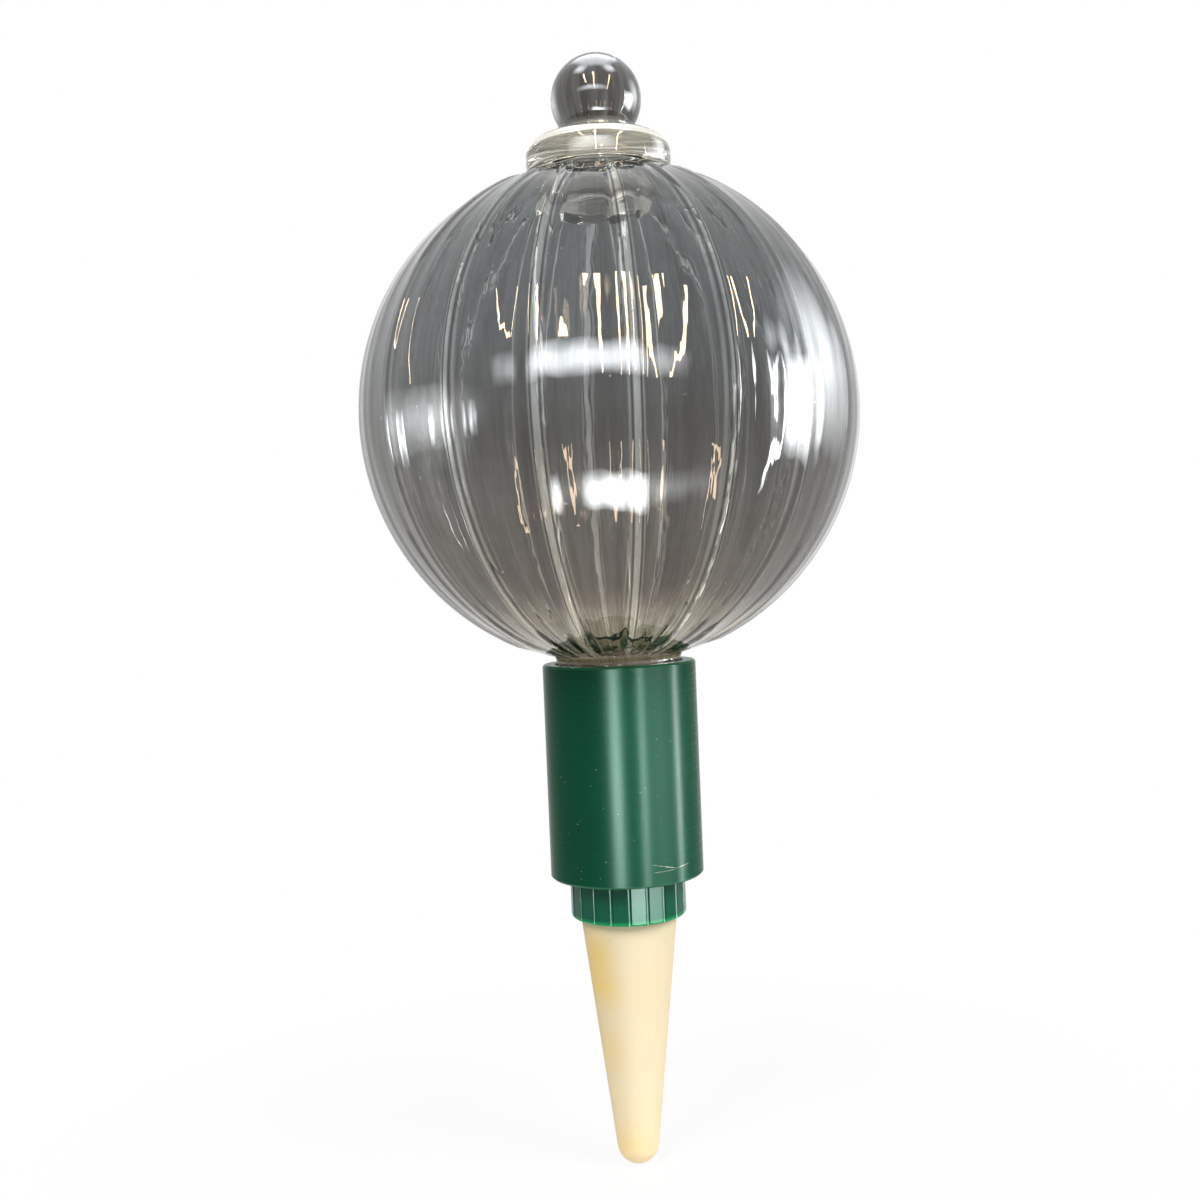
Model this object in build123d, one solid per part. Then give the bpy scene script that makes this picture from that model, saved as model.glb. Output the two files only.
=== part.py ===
from build123d import *
import os
from math import acos, asin, atan2, cos, degrees, hypot, radians, sin, sqrt

# Watering globe: a ribbed glass reservoir with a glass stopper. Its neck stands in a turned
# plastic sleeve, which screws onto the head of a porous ceramic cone.
# Millimetres. +Z is up. The origin is on the axis, in the plane of the collar's underside,
# which is where the soil reaches when the cone is pushed fully in.

# Ceramic cone
CONE_LENGTH = 53.0          # collar's underside to tip
CONE_TOP_DIAMETER = 20.2    # at the collar's underside
CONE_TIP_RADIUS = 4.4
CONE_WALL = 2.4
CONE_SHANK = 9.0            # straight part, held in the head
CONE_SHANK_CHAMFER = 0.6
CONE_FIT = 0.15             # radial gap between the shank and its socket

# Seal on top of the ceramic
CONE_SEAL_THICKNESS = 1.2

# Cone head: fluted collar and threaded spigot
COLLAR_WALL = 1.85          # between the ceramic's socket and the corners of the collar
COLLAR_SHOW = 8.5           # height of collar below the sleeve
COLLAR_EDGE = 0.5           # chamfer round the collar's lower edge
HEAD_WEB = 4.3              # between the socket's floor and the foot of the spigot
FLUTE_COUNT = 20
FLUTE_RADIUS = 0.45
SPIGOT_STEP = 2.5           # from the corners of the collar in to the core of the spigot
SPIGOT_CHAMFER = 0.5
WATERWAY_DIAMETER = 12.0    # through the head and through the sleeve's web

# Screw thread between the head and the sleeve
THREAD_PITCH = 3.0
THREAD_TURNS = 1.75         # on the spigot
THREAD_HEIGHT = 1.0
THREAD_ROOT_WIDTH = 1.8
THREAD_CREST_WIDTH = 0.9
THREAD_BITE = 0.3           # how far the ridge reaches into the core that carries it
THREAD_CLEARANCE = 0.3
THREAD_LEAD = 2.25          # from the floor of the counterbore to the ridge's first turn
THREAD_RELIEF = 2.0         # plain bore above the last turn

# Flat ring between the spigot and the sleeve's web
GASKET_THICKNESS = 1.5
GASKET_OVERLAP = 0.8        # past the core of the spigot, and clear of the waterway

# Coupling sleeve
SLEEVE_DIAMETER = 32.0
SLEEVE_LENGTH = 44.5
SLEEVE_WALL = 2.6           # round the neck socket
SLEEVE_EDGE = 0.4           # chamfer round both ends
SLEEVE_WEB = 4.0
COLLAR_CLEARANCE = 0.3      # round the hidden part of the collar
COLLAR_HEADROOM = 0.5       # above the collar's top

# Seals and washer round the neck
NECK_CLEARANCE = 0.4        # between the glass neck and the sleeve
NECK_SEAL_COUNT = 2
NECK_SEAL_SECTION = 1.6
NECK_SEAL_CLEARANCE = 0.05
WASHER_THICKNESS = 1.5
WASHER_CLEARANCE = 0.2

# Glass globe
GLOBE_DIAMETER = 102.8      # between the ribs
GLASS_WALL = 2.0
NECK_SHOW = 0.6             # straight neck above the sleeve
NECK_ROUNDING = 1.2         # between the neck and the globe, outside
RIB_COUNT = 18
RIB_PHASE = 14.9            # degrees from +X to the first rib
RIB_RADIUS = 2.2            # of the rib's round back
RIB_HEIGHT = 0.6
RIB_END_GAP = 1.2           # from the ends of a rib to the mouth's lip and the neck
MOUTH_LIP_WIDTH = 3.2
MOUTH_LIP_STEP = 0.2        # height of the ground lip over the globe, at its outer edge

# Glass stopper
PLUG_DIAMETER = 22.0
PLUG_DEPTH = 7.0
PLUG_ROUNDING = 1.5
PLUG_DISH_DEPTH = 1.2
PLUG_DISH_MARGIN = 1.5      # flat ring round the dish
PLUG_CLEARANCE = 0.4        # between the plug and the mouth
FLANGE_DIAMETER = 30.0
FLANGE_RIM = 4.2            # height of the straight rim
FLANGE_ROUNDING = 0.8       # round the rim's lower edge
SHOULDER_WIDTH = 4.4        # of the round shoulder above the rim
SHOULDER_RISE = 3.7
SHOULDER_BULGE = 1.1        # of the shoulder's line over a straight one
FLANGE_CROWN = 0.7          # from the shoulder up to the foot of the ball
BALL_DIAMETER = 18.8
BALL_SINK = 2.3             # how far the ball is melted into the flange

# Radii that fit each other
cone_top_r = CONE_TOP_DIAMETER / 2
socket_r = cone_top_r + CONE_FIT
collar_r = socket_r + COLLAR_WALL
spigot_r = collar_r - SPIGOT_STEP
waterway_r = WATERWAY_DIAMETER / 2
crest_r = spigot_r + THREAD_HEIGHT
thread_bore_r = spigot_r + THREAD_CLEARANCE
groove_r = crest_r + THREAD_CLEARANCE
relief_r = groove_r + THREAD_CLEARANCE
gasket_inner_r = waterway_r + GASKET_OVERLAP
gasket_outer_r = spigot_r + GASKET_OVERLAP
counterbore_r = collar_r + COLLAR_CLEARANCE
sleeve_r = SLEEVE_DIAMETER / 2
neck_socket_r = sleeve_r - SLEEVE_WALL
neck_r = neck_socket_r - NECK_CLEARANCE
neck_bore_r = neck_r - GLASS_WALL
seal_inner_r = neck_r + NECK_SEAL_CLEARANCE
seal_groove_r = seal_inner_r + NECK_SEAL_SECTION + NECK_SEAL_CLEARANCE
globe_r = GLOBE_DIAMETER / 2
plug_r = PLUG_DIAMETER / 2
mouth_r = plug_r + PLUG_CLEARANCE
lip_r = mouth_r + MOUTH_LIP_WIDTH
flange_r = FLANGE_DIAMETER / 2
ball_r = BALL_DIAMETER / 2

# Heights, from the ceramic upwards
socket_floor = CONE_SHANK + CONE_SEAL_THICKNESS
collar_top = socket_floor + HEAD_WEB
counterbore_top = collar_top + COLLAR_HEADROOM
thread_start = counterbore_top + THREAD_LEAD
thread_end = thread_start + THREAD_PITCH * THREAD_TURNS
relief_start = thread_end + THREAD_PITCH / 2
spigot_top = relief_start + THREAD_RELIEF
web_bottom = spigot_top + GASKET_THICKNESS
web_top = web_bottom + SLEEVE_WEB
neck_end = web_top + WASHER_THICKNESS
sleeve_bottom = COLLAR_SHOW
sleeve_top = sleeve_bottom + SLEEVE_LENGTH
neck_depth = sleeve_top - neck_end
rounding_z = sleeve_top + NECK_SHOW
globe_z = rounding_z + sqrt((globe_r + NECK_ROUNDING) ** 2 - (neck_r + NECK_ROUNDING) ** 2)
seat_z = globe_z + sqrt(globe_r**2 - lip_r**2) + MOUTH_LIP_STEP


def turned(line):
    """Solid of revolution about Z from a closed outline of (radius, height) points."""
    return revolve(Plane.XZ * make_face(line), Axis.Z)


def rod(radius, bottom, height):
    """Plain cylinder about Z."""
    return extrude(Pos(0, 0, bottom) * Circle(radius), height)


def ring(inner_r, outer_r, bottom, height):
    """Flat ring about Z."""
    disc = Circle(outer_r) - Circle(inner_r)
    return extrude(Pos(0, 0, bottom) * disc, height)


def make_ceramic_cone():
    """Hollow cone with a rounded tip. Its flank is the tangent from the top edge to the tip's circle."""
    tip_z = CONE_TIP_RADIUS - CONE_LENGTH
    slant = acos(CONE_TIP_RADIUS / hypot(cone_top_r, tip_z)) - atan2(-tip_z, cone_top_r)
    hollow_tip_r = CONE_TIP_RADIUS - CONE_WALL
    hollow_r = (hollow_tip_r - tip_z * sin(slant)) / cos(slant)
    outer_touch = (CONE_TIP_RADIUS * cos(slant), tip_z - CONE_TIP_RADIUS * sin(slant))
    hollow_touch = (hollow_tip_r * cos(slant), tip_z - hollow_tip_r * sin(slant))
    tip = (0, -CONE_LENGTH)
    hollow_tip = (0, tip_z - hollow_tip_r)
    outline = [
        TangentArc(tip, outer_touch, tangent=(1, 0)),
        Polyline(
            outer_touch,
            (cone_top_r, 0),
            (cone_top_r, CONE_SHANK - CONE_SHANK_CHAMFER),
            (cone_top_r - CONE_SHANK_CHAMFER, CONE_SHANK),
            (hollow_r, CONE_SHANK),
            (hollow_r, 0),
            hollow_touch,
        ),
        TangentArc(hollow_tip, hollow_touch, tangent=(1, 0)),
        Line(hollow_tip, tip),
    ]
    return turned(outline), hollow_r


def helix_ridge(root_r, top_r, top_width, bottom, top):
    """Thread profile swept up a right-hand helix, which starts over +X at the height bottom."""
    flare = (THREAD_ROOT_WIDTH - THREAD_CREST_WIDTH) / THREAD_HEIGHT
    root_width = top_width + flare * (top_r - root_r)
    section = Polyline(
        (root_r, -root_width / 2),
        (top_r, -top_width / 2),
        (top_r, top_width / 2),
        (root_r, root_width / 2),
        close=True,
    )
    path = Helix(THREAD_PITCH, top - bottom, root_r)
    return Pos(0, 0, bottom) * sweep(Plane.XZ * make_face(section), path, is_frenet=True)


def make_cone_head():
    """Fluted collar with the ceramic's socket in its underside and a threaded spigot on top."""
    collar = extrude(RegularPolygon(collar_r, FLUTE_COUNT), collar_top)
    envelope = rod(collar_r, 0, collar_top)
    collar = collar & chamfer(envelope.edges().group_by(Axis.Z)[0], COLLAR_EDGE)
    collar = collar - PolarLocations(collar_r, FLUTE_COUNT) * rod(FLUTE_RADIUS, 0, collar_top)
    core = rod(spigot_r, 0, spigot_top)
    core = chamfer(core.edges().group_by(Axis.Z)[-1], SPIGOT_CHAMFER)
    ridge = helix_ridge(
        spigot_r - THREAD_BITE,
        crest_r,
        THREAD_CREST_WIDTH,
        thread_start,
        thread_end,
    )
    return collar + core + ridge - rod(waterway_r, 0, spigot_top) - rod(socket_r, 0, socket_floor)


def make_coupling_sleeve():
    """Turned sleeve: neck socket with seal grooves, web with the waterway, threaded lower socket."""
    bore = [
        (counterbore_r, sleeve_bottom),
        (counterbore_r, counterbore_top),
        (thread_bore_r, counterbore_top),
        (thread_bore_r, relief_start),
        (relief_r, relief_start),
        (relief_r, web_bottom),
        (waterway_r, web_bottom),
        (waterway_r, web_top),
        (neck_socket_r, web_top),
        (neck_socket_r, sleeve_top),
    ]
    outside = [
        (sleeve_r - SLEEVE_EDGE, sleeve_top),
        (sleeve_r, sleeve_top - SLEEVE_EDGE),
        (sleeve_r, sleeve_bottom + SLEEVE_EDGE),
        (sleeve_r - SLEEVE_EDGE, sleeve_bottom),
    ]
    sleeve = turned(Polyline(*bore, *outside, close=True))
    groove_width = NECK_SEAL_SECTION + 2 * NECK_SEAL_CLEARANCE
    for z in neck_seal_heights():
        sleeve = sleeve - ring(neck_r, seal_groove_r, z - groove_width / 2, groove_width)
    groove = helix_ridge(
        spigot_r,
        groove_r,
        THREAD_CREST_WIDTH + THREAD_CLEARANCE,
        thread_start - THREAD_PITCH,
        relief_start + THREAD_RELIEF / 2,
    )
    return sleeve - groove


def neck_seal_heights():
    """Heights of the seals, evenly spread over the neck's depth in the sleeve, lowest first."""
    step = neck_depth / (NECK_SEAL_COUNT + 1)
    return [neck_end + step * (k + 1) for k in range(NECK_SEAL_COUNT)]


def make_neck_seal(z):
    """O-ring round the glass neck."""
    centre_r = seal_inner_r + NECK_SEAL_SECTION / 2
    return Solid.make_torus(centre_r, NECK_SEAL_SECTION / 2, Plane((0, 0, z)))


def globe_outline(sphere_r, tube_r, rounding, top_r, top_z):
    """Outline of a sphere that runs down into a tube through a rounding, and is cut flat at the top."""
    centre = Vector(0, globe_z)
    rounding_centre = Vector(tube_r + rounding, rounding_z)
    away = (rounding_centre - centre).normalized()
    touch = centre + away * sphere_r
    middle = rounding_centre + (Vector(-1, 0) - away).normalized() * rounding
    waist = Vector(sphere_r, globe_z)
    edge = Vector(top_r, globe_z + sqrt(sphere_r**2 - top_r**2))
    return [
        Polyline((0, neck_end), (tube_r, neck_end), (tube_r, rounding_z)),
        ThreePointArc((tube_r, rounding_z), middle, touch),
        ThreePointArc(touch, waist, edge),
        Polyline(edge, (top_r, top_z), (0, top_z), (0, neck_end)),
    ]


def make_rib(turn):
    """Round-backed rib along one meridian, from below the mouth's lip to above the neck."""
    spine_r = globe_r + RIB_HEIGHT - RIB_RADIUS
    upper = asin((lip_r + RIB_END_GAP) / globe_r)
    lower = radians(180) - asin((neck_r + NECK_ROUNDING + RIB_END_GAP) / globe_r)
    outward = Vector(cos(turn), sin(turn), 0)
    start = outward * sin(upper) + Vector(0, 0, cos(upper))
    normal = Vector(0, 0, 1).cross(outward)
    frame = Plane((0, 0, globe_z), x_dir=start, z_dir=normal)
    return Solid.make_torus(spine_r, RIB_RADIUS, frame, major_angle=degrees(lower - upper))


def make_glass_globe():
    """Blown shell of even wall, with its ribs outside, open at the mouth and at the end of the neck."""
    outside = turned(globe_outline(globe_r, neck_r, NECK_ROUNDING, lip_r, seat_z))
    for k in range(RIB_COUNT):
        outside = outside + make_rib(radians(RIB_PHASE + 360 * k / RIB_COUNT))
    inner_rounding = NECK_ROUNDING + GLASS_WALL
    hollow = turned(globe_outline(globe_r - GLASS_WALL, neck_bore_r, inner_rounding, mouth_r, seat_z))
    return outside - hollow


def make_glass_stopper():
    """Ball on a thick flange, with a plug below it. The flange's underside rests on the mouth's lip."""
    shoulder_z = seat_z + FLANGE_RIM + SHOULDER_RISE
    foot_z = shoulder_z + FLANGE_CROWN
    ball_z = foot_z + ball_r - BALL_SINK
    foot_r = sqrt(ball_r**2 - (ball_z - foot_z) ** 2)
    plug_z = seat_z - PLUG_DEPTH
    dish_r = plug_r - PLUG_ROUNDING - PLUG_DISH_MARGIN
    rim_top = (flange_r, seat_z + FLANGE_RIM)
    shoulder = (flange_r - SHOULDER_WIDTH, shoulder_z)
    foot = (foot_r, foot_z)
    outline = [
        TangentArc((0, plug_z + PLUG_DISH_DEPTH), (dish_r, plug_z), tangent=(1, 0)),
        Line((dish_r, plug_z), (plug_r - PLUG_ROUNDING, plug_z)),
        TangentArc((plug_r - PLUG_ROUNDING, plug_z), (plug_r, plug_z + PLUG_ROUNDING), tangent=(1, 0)),
        Polyline((plug_r, plug_z + PLUG_ROUNDING), (plug_r, seat_z), (flange_r - FLANGE_ROUNDING, seat_z)),
        TangentArc(
            (flange_r - FLANGE_ROUNDING, seat_z), (flange_r, seat_z + FLANGE_ROUNDING), tangent=(1, 0)
        ),
        Line((flange_r, seat_z + FLANGE_ROUNDING), rim_top),
        SagittaArc(rim_top, shoulder, -SHOULDER_BULGE),
        Line(shoulder, foot),
        ThreePointArc(foot, (ball_r, ball_z), (0, ball_z + ball_r)),
        Line((0, ball_z + ball_r), (0, plug_z + PLUG_DISH_DEPTH)),
    ]
    return turned(outline)


def main():
    """Make every sub-part and write it to its own file."""
    ceramic_cone, hollow_r = make_ceramic_cone()
    parts = {
        "ceramic_cone": ceramic_cone,
        "cone_seal": ring(hollow_r, cone_top_r, CONE_SHANK, CONE_SEAL_THICKNESS),
        "cone_head": make_cone_head(),
        "head_gasket": ring(gasket_inner_r, gasket_outer_r, spigot_top, GASKET_THICKNESS),
        "coupling_sleeve": make_coupling_sleeve(),
        "neck_washer": ring(
            neck_bore_r - WASHER_CLEARANCE, neck_socket_r - WASHER_CLEARANCE, web_top, WASHER_THICKNESS
        ),
        "glass_globe": make_glass_globe(),
        "glass_stopper": make_glass_stopper(),
    }
    for name, z in zip(("neck_seal_lower", "neck_seal_upper"), neck_seal_heights()):
        parts[name] = make_neck_seal(z)
    os.makedirs("parts", exist_ok=True)
    for name, shape in parts.items():
        export_step(shape, f"parts/{name}.step")


main()
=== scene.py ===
import math

import bpy
from mathutils import Matrix, Vector


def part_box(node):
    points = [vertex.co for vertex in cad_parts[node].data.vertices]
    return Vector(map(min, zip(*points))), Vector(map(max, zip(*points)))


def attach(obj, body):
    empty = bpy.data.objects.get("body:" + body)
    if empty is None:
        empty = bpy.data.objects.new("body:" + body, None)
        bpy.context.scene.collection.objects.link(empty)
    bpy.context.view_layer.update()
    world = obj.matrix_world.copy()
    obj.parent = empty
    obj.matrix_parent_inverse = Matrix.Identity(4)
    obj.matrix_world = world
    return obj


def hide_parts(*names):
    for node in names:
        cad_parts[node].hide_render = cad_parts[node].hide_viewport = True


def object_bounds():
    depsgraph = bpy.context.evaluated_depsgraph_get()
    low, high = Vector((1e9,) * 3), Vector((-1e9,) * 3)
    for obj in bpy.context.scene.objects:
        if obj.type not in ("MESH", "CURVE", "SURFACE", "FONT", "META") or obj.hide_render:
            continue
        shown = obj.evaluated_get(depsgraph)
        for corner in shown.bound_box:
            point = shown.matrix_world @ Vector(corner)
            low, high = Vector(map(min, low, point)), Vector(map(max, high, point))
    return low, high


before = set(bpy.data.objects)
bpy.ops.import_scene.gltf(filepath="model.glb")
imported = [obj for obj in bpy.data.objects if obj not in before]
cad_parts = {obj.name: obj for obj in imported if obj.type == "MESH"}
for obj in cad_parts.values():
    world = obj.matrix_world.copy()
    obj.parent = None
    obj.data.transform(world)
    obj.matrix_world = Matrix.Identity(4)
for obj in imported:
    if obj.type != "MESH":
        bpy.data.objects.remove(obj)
cad_low, cad_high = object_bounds()

# Sizes in metres, angles in degrees. The frame gives the heights that the pieces meet at.
globe_low, globe_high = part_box("glass_globe")
stopper_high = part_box("glass_stopper")[1]
sleeve_low, sleeve_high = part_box("coupling_sleeve")
head_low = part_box("cone_head")[0]
neck_end = globe_low.z
seat = globe_high.z
sleeve_top = sleeve_high.z

# Meshes
WELD = 2e-6                     # doubles closer than this are merged
SEED_SIZE = 0.002               # of the plane that is merged into an outline's first point
SMOOTH_ANGLE = 35
ROUND_STEPS = 8                 # along a rounding of an outline

# Blown globe
GLOBE_RADIUS = 0.0514           # between the ribs
GLASS_WALL = 0.002
OUTER_FACE = GLOBE_RADIUS - GLASS_WALL / 4  # points farther than this from the middle are outside
NECK_RADIUS = 0.013
NECK_SHOW = 0.0006              # straight neck above the sleeve
NECK_CLEAR = 0.0004             # clear glass below the sleeve's top, over the ground neck
GROUND_FLARE = 0.0026           # cloudy inner face above the sleeve's top
NECK_ROUNDING = 0.0012
MOUTH_RADIUS = 0.0114
LIP_RADIUS = 0.0146
LIP_STEP = 0.0002
LIP_ROUNDING = 0.00025
LIP_STEPS = 4
OUTSIDE_STEPS = 84              # from the neck up to the lip
INSIDE_STEPS = 44

# Ribs of the globe
RIB_COUNT = 18
RIB_PHASE = 14.9                # from +X to the first rib
RIB_SQUEEZE = 1.2               # that the ribs draw together towards the front
RIB_HEIGHT = 0.00058
RIB_WIDTH = 0.0034              # foot to foot, at the waist of the globe
RIB_LEAST = 0.5                 # share of that width that a rib would keep on the axis
RIB_END_GAP = 0.0012            # from the ends of a rib to the lip and the neck
RIB_END_TAPER = 0.006
RIB_ZONE = 5.0                  # of finer steps round each rib
STEPS_ON_RIB = 22
STEPS_BEFORE_RIB = 5
STEPS_AFTER_RIB = 1
PAST_RIB = 2.0                  # mark of the points that belong to no rib

# Stopper
SEAT_GAP = 0.0001               # under the flange, so that its face and the lip stay apart
PLUG_RADIUS = 0.011
PLUG_DEPTH = 0.007
PLUG_ROUNDING = 0.0015
DISH_DEPTH = 0.0012
DISH_RADIUS = 0.008
DISH_STEPS = 10
FLANGE_RIM = 0.0042
FLANGE_ROUNDING = 0.0012
SHOULDER_WIDTH = 0.0044
SHOULDER_RISE = 0.0037
SHOULDER_STEPS = 16
FLANGE_CROWN = 0.0007
BALL_RADIUS = 0.0094
BALL_SINK = 0.0023
BALL_FILLET = 0.0008
BALL_STEPS = 48
STOPPER_SIDES = 192
ball_z = stopper_high.z - BALL_RADIUS

# Camera, worked out from the photograph's 1200 by 1200 frame
PHOTO_SIDE = 1200
FOCAL_PIXELS = 1440
SENSOR = 36.0
CLIP_START = 0.01
CAMERA_PLACE = (-0.0034, -0.3009, 0.0744)
CAMERA_PITCH = 1.6              # downwards
CAMERA_ROLL = -2.366            # so that the object's top leans left

# Tints of the globe, low and high ones: painted shade between the ribs, which stands for a dark room seen
# through the glass, and painted light along them
GLASS_IOR = 1.5
TINT_LOW_Z = 0.06
TINT_HIGH_Z = 0.115
# Painted shade of the globe's body, paler and darker in streaks
PAINTED_SHADE_PALE_LOW = (0.155, 0.127, 0.096, 1)
PAINTED_SHADE_PALE_HIGH = (0.132, 0.145, 0.151, 1)
PAINTED_SHADE_DEEP_LOW = (0.058, 0.043, 0.030, 1)
PAINTED_SHADE_DEEP_HIGH = (0.052, 0.056, 0.058, 1)
# Painted light along the crests and feet of the ribs, and painted shade on their flanks
RIB_LIGHT_LOW = (0.86, 0.84, 0.68, 1)
RIB_LIGHT_HIGH = (0.88, 0.91, 0.90, 1)
RIB_FLANK_SHADE = (0.02, 0.02, 0.018, 1)
FLANK_SHADE_SHARE = 0.75
FOOT_LIGHT_SHARE = 0.36
# Painted light and shade lines near the base
BASE_SHADE = (0.22, 0.18, 0.13, 1)
BASE_LIGHT = (0.54, 0.49, 0.37, 1)
BASE_FADE = (0.0135, 0.006)     # over the sleeve's top, where the paler base starts and is full
WAIST_SHADE = (0.026, 0.021, 0.015, 1)
WAIST_SHADE_Z = 0.102           # middle of the darker band round the waist
WAIST_FADE = (0.013, 0.003)     # over and under that middle
WAIST_SHARE = 0.5
BUBBLE = (0.9, 0.9, 0.85, 1)
BUBBLE_SHARE = 0.7
INNER_FACE = (0.98, 0.98, 0.97, 1)
# Painted shade on the neck where it goes into the sleeve
INNER_NECK_SHADE = (0.42, 0.37, 0.29, 1)
NECK_SHADE_FADE = 0.001
WAVE_HEIGHT = 0.0012
WAVE_STRENGTH = 0.27
GROUND_DARK = (0.62, 0.56, 0.42, 1)
GROUND_PALE = (0.82, 0.77, 0.63, 1)
GROUND_TRANSMISSION = 0.45
GROUND_GRAIN = 0.00002

# Tints of the stopper, with painted light and shade in the ball and the plug
# Painted shade in the ball, darker low down, with painted light streaks and a painted highlight on its
# crown
BALL_SHADE_LOW = (0.020, 0.016, 0.011, 1)
BALL_SHADE_HIGH = (0.034, 0.031, 0.027, 1)
BALL_LIGHT_STREAK = (0.13, 0.13, 0.125, 1)
BALL_CROWN_HIGHLIGHT = (0.32, 0.36, 0.40, 1)
BALL_RISE = (-0.7, 0.3)         # in ball radii from its middle, from the low to the high painted shade
CROWN_HIGHLIGHT_RISE = (0.45, 0.75)
BALL_FADE = 0.0025              # over the shoulder
# Painted shade in the plug, with a painted glint round its lower rim
PLUG_SHADE = (0.10, 0.085, 0.065, 1)
PLUG_RIM_GLINT = (0.95, 0.90, 0.80, 1)
PLUG_GLINT_FADE = (0.0010, 0.0004)
FLANGE_TINT = (0.94, 0.93, 0.82, 1)
FLANGE_FADE = (0.0034, 0.0014)  # under the seat
FLANGE_TRANSMISSION = 0.93

# Greens of the sleeve and the head
SLEEVE_DARK = (0.0025, 0.057, 0.028, 1)
SLEEVE_LIGHT = (0.0045, 0.073, 0.037, 1)
SLEEVE_LINE = (0.02, 0.13, 0.07, 1)
SLEEVE_LINE_SHARE = 0.12
# Painted highlight along the chamfered rims at both ends
SLEEVE_RIM_HIGHLIGHT = (0.03, 0.17, 0.08, 1)
RIM_HIGHLIGHT_FADE = (0.0006, 0.0003)
SLEEVE_SPECULAR = 0.045
SLEEVE_GRAIN = 0.000003
DUST = (0.24, 0.33, 0.25, 1)
HEAD_DARK = (0.003, 0.085, 0.045, 1)
HEAD_LIGHT = (0.006, 0.115, 0.062, 1)
# Painted glow of light through the head's lower edge
HEAD_EDGE_GLOW = (0.006, 0.36, 0.12, 1)
HEAD_GLOW_FADE = (0.0011, 0.0002)
HEAD_SPECULAR = 0.13
HEAD_GRAIN = 0.00003

# Fine scratches on the sleeve: the bearing and height of their ends and bends, and how strong they are
SCRATCH = (0.62, 0.66, 0.55, 1)
SCRATCH_WIDTH = 0.00009
SCRATCH_FAINTEST = 0.25
SCRATCHES = [
    ([(18, 0.0131), (38, 0.0118), (51, 0.0122)], 1.0),
    ([(18.5, 0.0115), (38, 0.0116)], 0.4),
]

# Clay of the cone, with its yellow stains by middle, radius and strength
CLAY_DARK = (0.88, 0.74, 0.48, 1)
CLAY_PALE = (0.91, 0.81, 0.60, 1)
CLAY_YELLOW_SHADE = (0.86, 0.66, 0.33, 1)
YELLOW_SHADE_FADE = (-0.001, -0.008)  # along X, to the side that is yellowed and darker: partly a stain, partly painted shade
CLAY_PORE = (0.62, 0.47, 0.28, 1)
PORE_SHARE = 0.25
PORE_DEPTH = 0.8                # against the grain
CLAY_SPECULAR = 0.15
CLAY_GRAIN = 0.00008
STAIN = (0.92, 0.68, 0.25, 1)
STAINS = [
    ((-0.0070, -0.0056, -0.007), 0.006, 0.9),
    ((-0.0064, -0.0058, -0.0135), 0.0065, 1.0),
    ((-0.0052, -0.0052, -0.028), 0.006, 0.4),
    ((-0.002, -0.0035, -0.048), 0.007, 0.6),
]

# Rubber of the seals
RUBBER_DARK = (0.012, 0.012, 0.012, 1)
RUBBER_PALE = (0.03, 0.03, 0.03, 1)
RUBBER_GRAIN = 0.00005

# Set: a white floor in a white room, which lights the object softly
WHITE = (1, 1, 1, 1)
FLOOR_RADIUS = 0.15
FLOOR_SIDES = 96
FLOOR_GREY = (0.85, 0.85, 0.85, 1)
FLOOR_ROUGHNESS = 0.9
FLOOR_FADE = (0.06, 0.14)       # from the axis, where the floor turns wholly white
FLOOR_WHITE_SHARE = 0.92        # under the object, so that its shadow shows
ROOM_LIGHT = 0.2
DAYLIGHT = (1, 0.98, 0.96)
COOL = (0.93, 0.97, 1.0)
WARM = (1.0, 0.74, 0.48)
LAMP_TARGET = Vector((0, 0, 0.09))
SLEEVE_TARGET = Vector((0, 0, 0.015))
COLLAR_TARGET = Vector((0, 0, -0.008))
BALL_TARGET = Vector((0, 0, ball_z))

# Warm tubes overhead: x of the near end, x and y of the far end
TUBE_RISE = 1.0                 # over the target
TUBE_WIDTH = 0.08
TUBE_RADIANCE = 40
TUBE_NEAR = -0.66               # y of the near ends
TUBES = [
    (-0.5, -0.75, -1.7),
    (-0.06, -0.28, -5.0),
    (0.66, 2.6, -5.0),
]

# Lamps: bearing from the camera's side, elevation, distance, width, height, radiance, soft edge, lean
PLAIN_LAMPS = {
    "key": (55, 35, 1.5, 0.8, 0.8, 10.2, 0, 0),
    "fill": (-32, 40, 1.5, 0.6, 0.6, 12.6, 0, 0),
}
ROOM_WINDOWS = {                # in the gloss of both glass pieces, and through them
    "window_right": (112, 14, 1.3, 0.9, 1.1, 9, 0.45, 0),
    "window_core": (92, 1, 1.3, 0.8, 0.76, 26, 0.3, 0),
}
LOW_WINDOWS = {                 # in the gloss of both glass pieces
    "window_edge": (78, -6, 1.3, 0.05, 1.2, 34, 0.2, 0),
    "low_window": (6, -38, 1.4, 0.9, 0.46, 40, 0.35, -5),
    "low_glow": (10, -38, 1.4, 1.9, 0.4, 7, 0.45, 4),
}
LOW_STRIPS = {                  # warm, in the gloss of both glass pieces, drawing together upwards
    "low_strip_0": (-45, -33, 1.4, 0.013, 0.9, 18, 0, -14),
    "low_strip_1": (-24, -33, 1.4, 0.014, 0.9, 18, 0, -8),
    "low_strip_2": (0, -33, 1.4, 0.018, 0.9, 18, 0, 0),
    "low_strip_3": (12, -33, 1.4, 0.014, 0.9, 18, 0, 4),
    "low_strip_4": (26, -33, 1.4, 0.016, 0.9, 18, 0, 8),
    "low_strip_5": (46, -33, 1.4, 0.012, 0.9, 18, 0, 14),
}
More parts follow.
